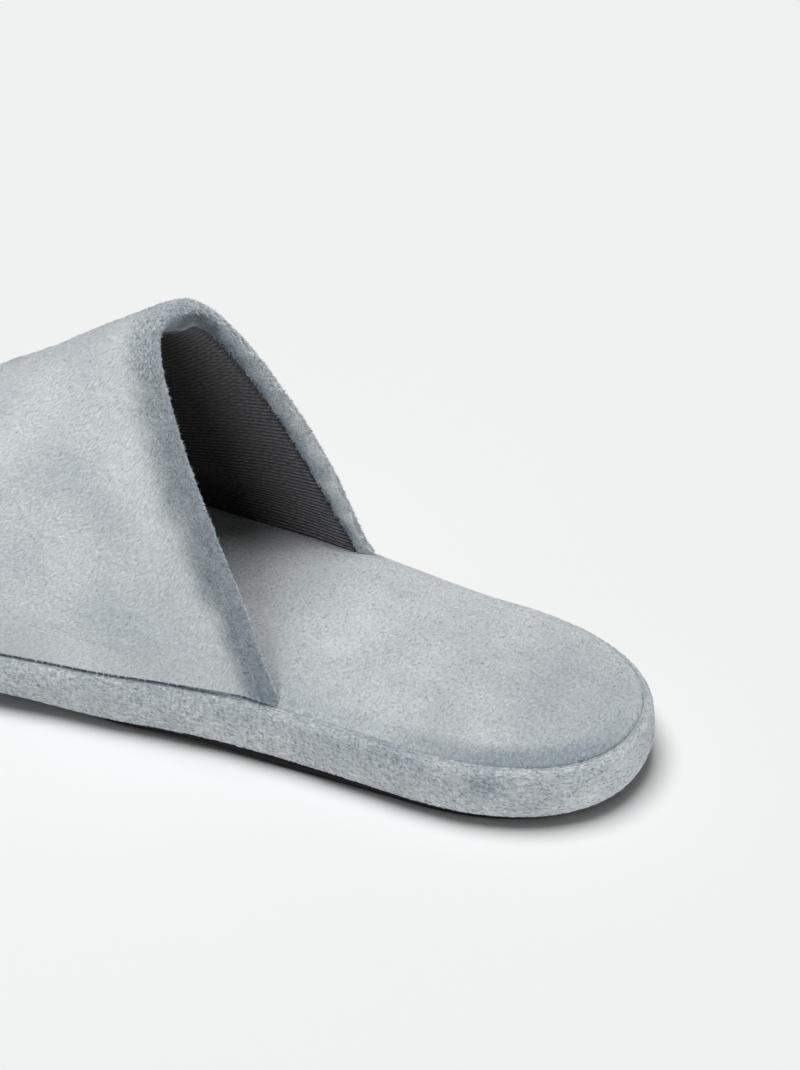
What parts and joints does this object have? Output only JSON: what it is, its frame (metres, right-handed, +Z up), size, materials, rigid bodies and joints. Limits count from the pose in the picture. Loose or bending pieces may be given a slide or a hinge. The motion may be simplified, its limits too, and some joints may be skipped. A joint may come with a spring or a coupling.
{
  "type": "mule slipper",
  "caption": "Open-backed padded velour house slipper for the right foot, with a rolled collar, a soft insole and a wrapped foam platform on a thin outsole.",
  "frame": {"origin": "On the floor, under the centre of the whole slipper's box.", "axes": "+Y towards the toe, +X towards the outer side of the right foot, +Z up."},
  "size_m": [0.1012, 0.276, 0.1119],
  "materials": {
    "outsole_rubber": "matt, fine tread",
    "wrap_velour": "short velour pile",
    "insole_velour": "short velour pile",
    "upper_velour": "short velour pile"
  },
  "bodies": {
    "root": {"outsole": "outsole_rubber", "sole_platform": "wrap_velour", "insole": "insole_velour", "upper": "upper_velour"}
  },
  "joints": []
}
